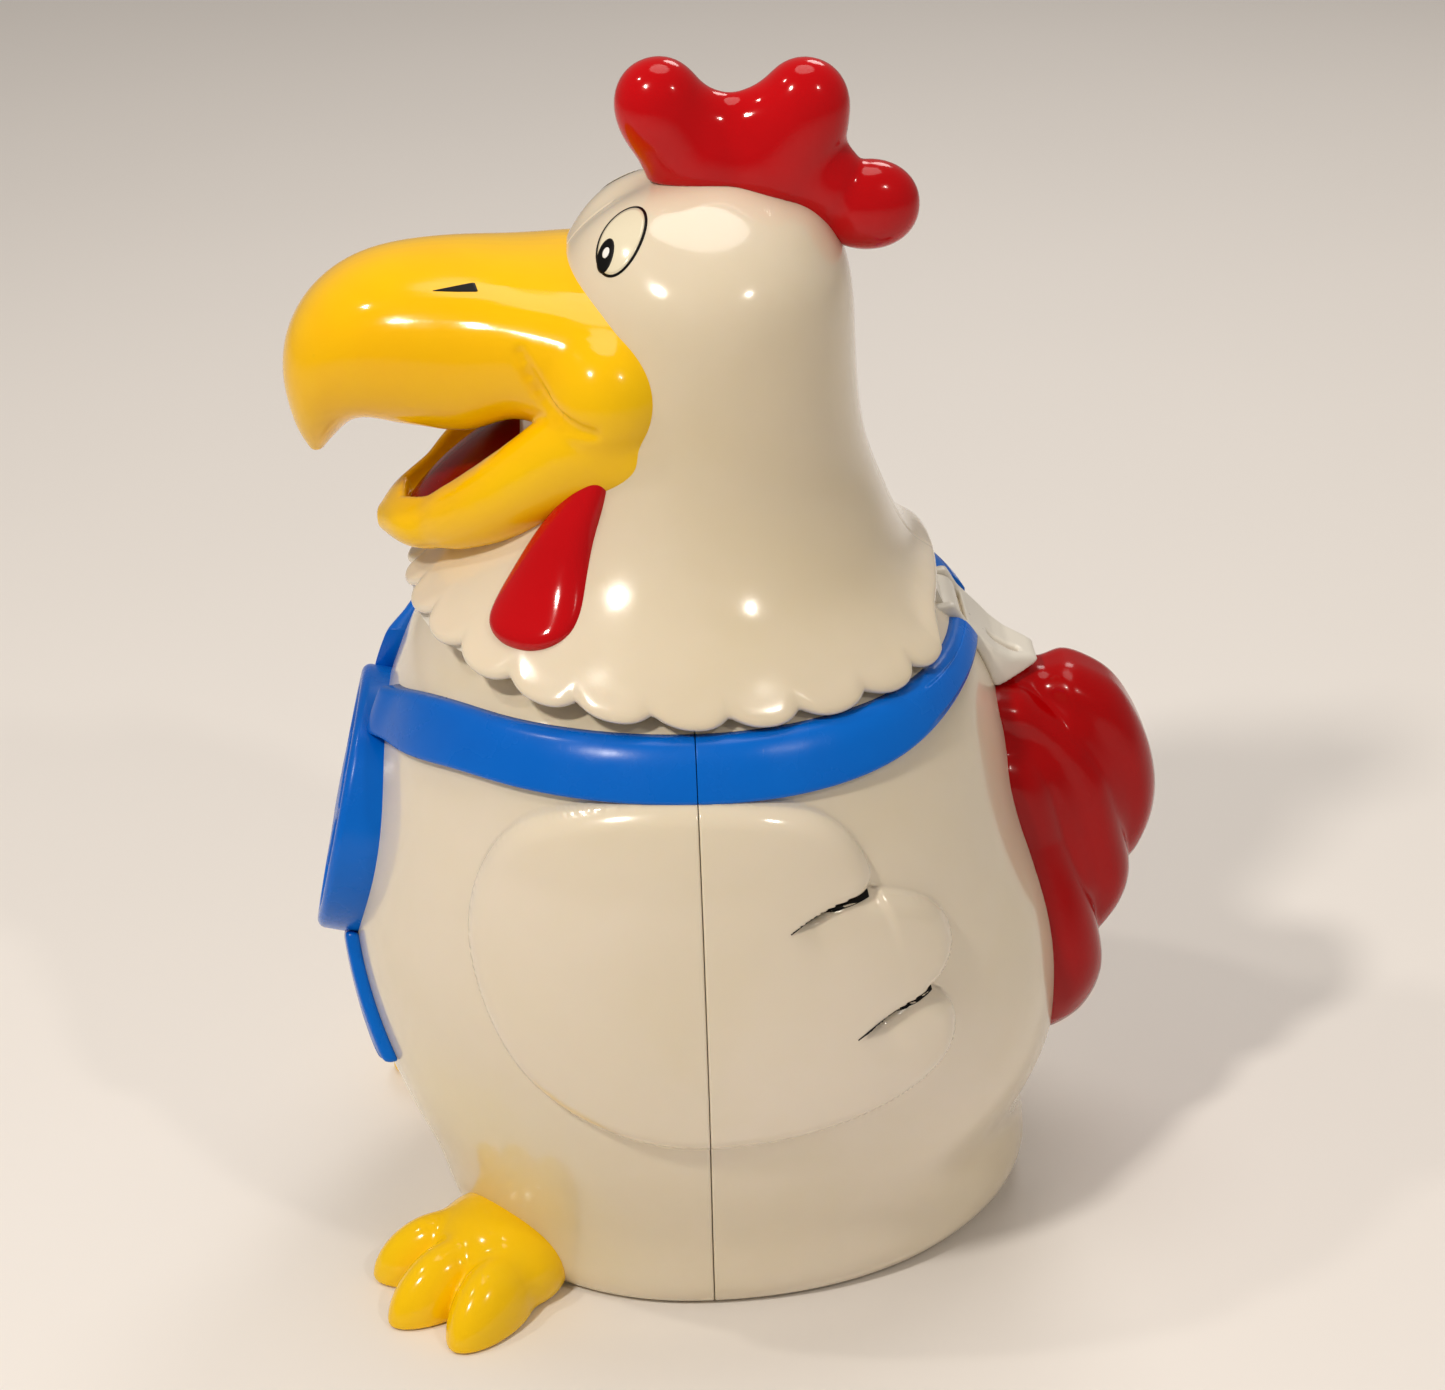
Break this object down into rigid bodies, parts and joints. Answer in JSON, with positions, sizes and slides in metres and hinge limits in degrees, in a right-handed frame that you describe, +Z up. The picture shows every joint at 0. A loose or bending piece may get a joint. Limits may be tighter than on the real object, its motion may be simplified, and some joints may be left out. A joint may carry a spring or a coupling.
{
  "type": "chicken cookie jar",
  "caption": "Upright cartoon chicken cookie jar in glossy plastic: hollow body with raised wings and medallion strap, and a hinged head lid with hooked beak and comb.",
  "frame": {"origin": "on the resting face, under the middle of the jar's overall box", "axes": "+Z up, -Y towards the beak, +X the chicken's left side"},
  "size_m": [0.1862, 0.2148, 0.3004],
  "materials": {
    "cream_plastic": "glossy moulded cream-white, slightly yellowed",
    "white_plastic": "smooth moulded white",
    "red_plastic": "high gloss red",
    "dark_red_plastic": "gloss dark red",
    "yellow_plastic": "high gloss yellow",
    "blue_plastic": "satin gloss blue",
    "black_plastic": "matt moulded black",
    "board_green": "satin solder mask",
    "cell_wrap": "plain wrapped cell",
    "steel": "zinc plated"
  },
  "bodies": {
    "body": {"body_shell_front": "cream_plastic", "body_shell_rear": "cream_plastic", "neck_strap_front": "blue_plastic", "neck_strap_rear": "blue_plastic", "medallion_disc": "blue_plastic", "medallion_emblem": "blue_plastic", "ribbon_tails": "blue_plastic", "tail_feathers": "red_plastic", "foot_left": "yellow_plastic", "foot_right": "yellow_plastic", "hinge_bracket": "white_plastic", "hinge_pin": "steel", "mouth_collar": "white_plastic", "inner_jar": "white_plastic", "base_cover": "white_plastic", "cover_posts": "cream_plastic", "base_cover_screws": "steel", "battery_tray": "black_plastic", "battery_cells": "cell_wrap", "battery_contacts": "steel", "speaker": "black_plastic", "speaker_clamp": "black_plastic", "sound_board": "board_green", "board_components": "black_plastic", "board_standoffs": "white_plastic", "lid_switch_housing": "black_plastic", "switch_spring": "steel", "power_switch_body": "black_plastic", "shell_screws": "steel", "foot_screws": "steel", "tail_screws": "steel"},
    "head": {"head_shell_left": "cream_plastic", "head_shell_right": "cream_plastic", "beak_upper": "yellow_plastic", "beak_lower": "yellow_plastic", "tongue": "dark_red_plastic", "comb": "red_plastic", "wattle_left": "red_plastic", "wattle_right": "red_plastic", "head_floor_pan": "white_plastic", "head_pan_screws": "steel", "hinge_arm_screws": "steel", "head_hinge_arm": "white_plastic"},
    "battery_door": {"battery_door": "white_plastic", "battery_door_screw": "steel"},
    "lid_plunger": {"switch_plunger": "white_plastic"},
    "power_knob": {"power_switch_knob": "black_plastic"}
  },
  "joints": [
    {"name": "head_lid", "type": "hinge", "parent": "body", "child": "head", "pos_m": [0, 0.0525, 0.1594], "axis": [-1, 0, 0], "range_deg": [0, 70]},
    {"name": "lid_plunger_slide", "type": "slide", "parent": "body", "child": "lid_plunger", "axis": [0, 0, 1], "range_m": [0, 0.003], "deforming": ["switch_spring"]},
    {"name": "battery_door_lift", "type": "slide", "parent": "body", "child": "battery_door", "axis": [0, 0, -1], "range_m": [0, 0.02]},
    {"name": "power_slide", "type": "slide", "parent": "body", "child": "power_knob", "axis": [1, 0, 0], "range_m": [0, 0.0034]}
  ],
  "couplings": [
    {"joint": "lid_plunger_slide", "follows": "head_lid", "m_per_rad": 0.00245}
  ]
}
